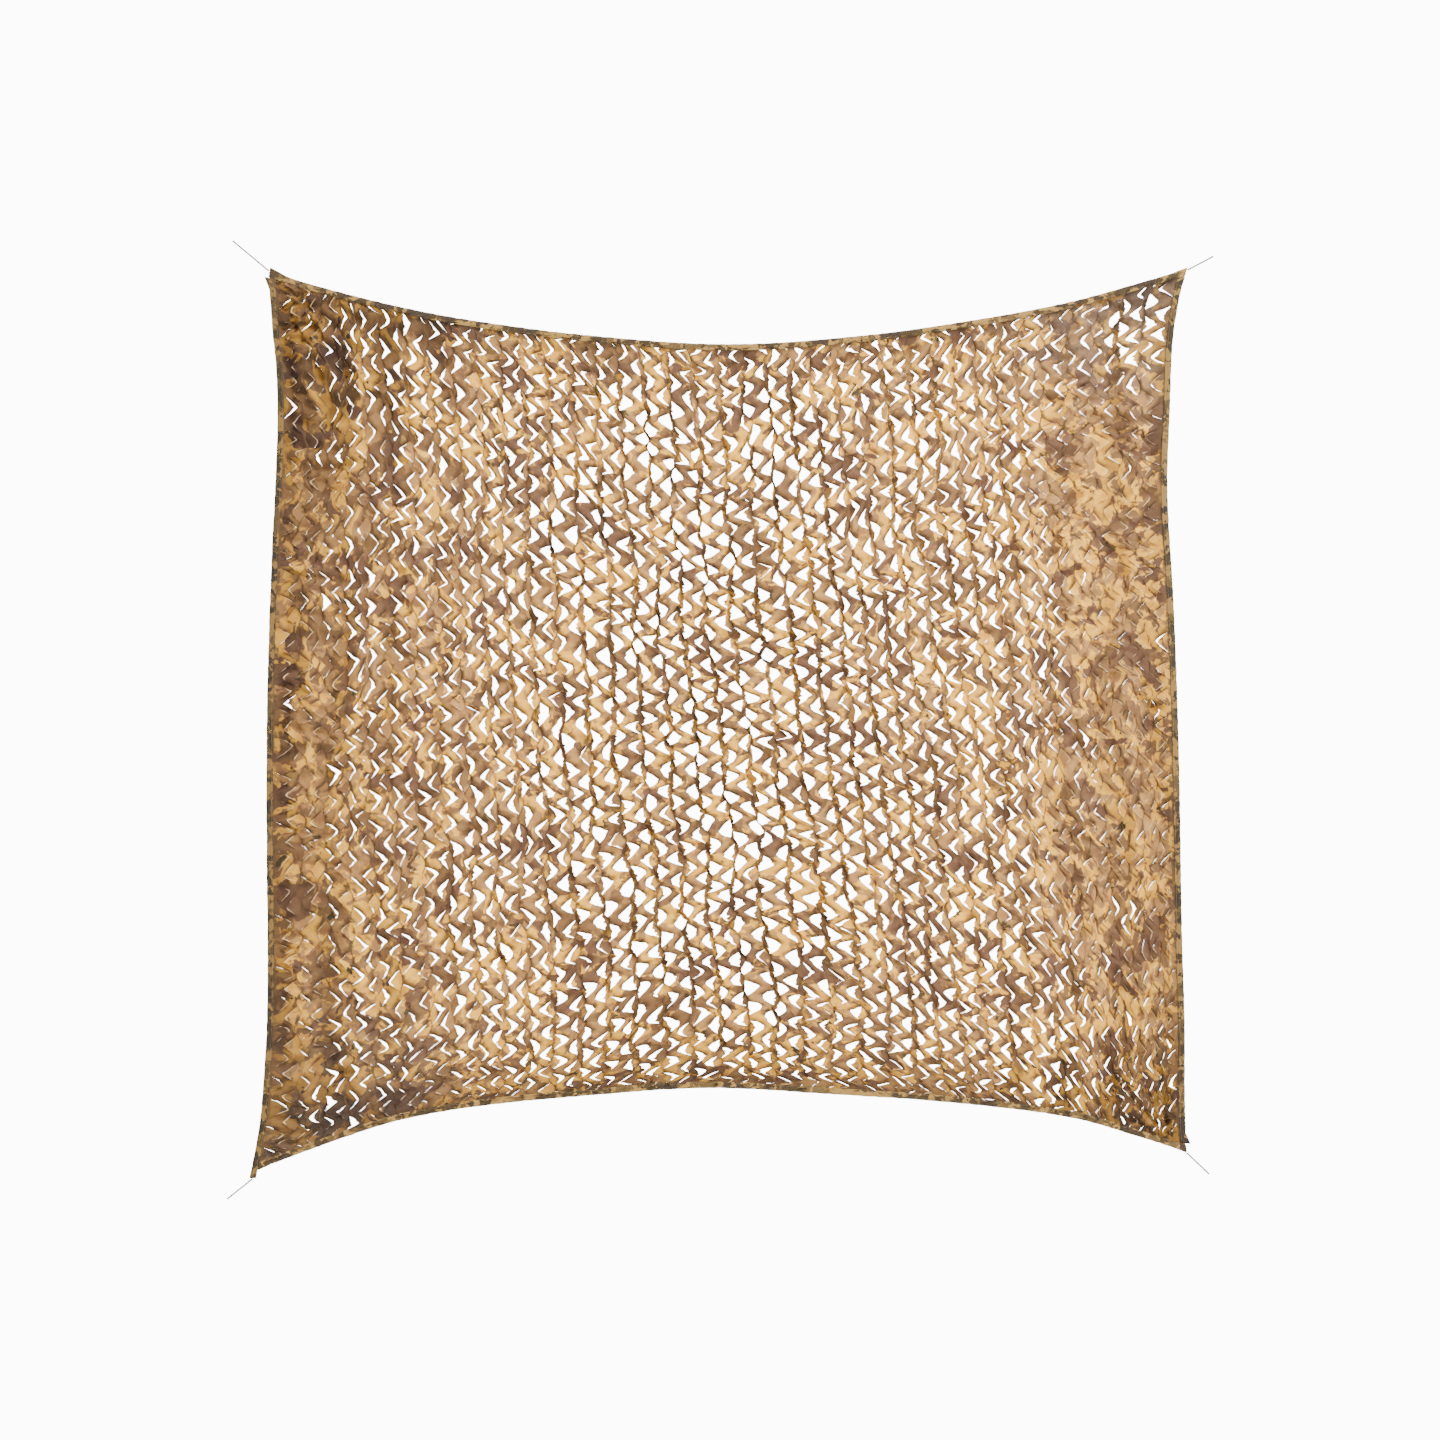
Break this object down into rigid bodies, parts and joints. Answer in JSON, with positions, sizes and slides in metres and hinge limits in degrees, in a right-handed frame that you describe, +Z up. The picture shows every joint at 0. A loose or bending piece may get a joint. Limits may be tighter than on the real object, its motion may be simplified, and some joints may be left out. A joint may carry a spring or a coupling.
{
  "type": "camouflage netting",
  "caption": "Leaf-cut camouflage netting pulled taut from its corners, with slit cloth opened into staggered gaps, tape-bound edges and a corner cord at each corner.",
  "frame": {"origin": "middle of the net's top edge, on the outer fold of the top binding", "axes": "+X across the net to the right seen from its face, +Y to its back, +Z up"},
  "size_m": [3.1589, 0.0446, 3.0717],
  "materials": {
    "net_cloth": "matt printed polyester in tan, ochre, mid brown and purple-brown",
    "binding_tape": "matt woven tape in olive-grey, tan and brown print",
    "cord": "matt twisted cord, pale beige"
  },
  "bodies": {
    "root": {"net": "net_cloth", "binding_top": "binding_tape", "binding_bottom": "binding_tape", "binding_left": "binding_tape", "binding_right": "binding_tape", "cord_top_left": "cord", "cord_top_right": "cord", "cord_bottom_left": "cord", "cord_bottom_right": "cord"}
  },
  "joints": []
}
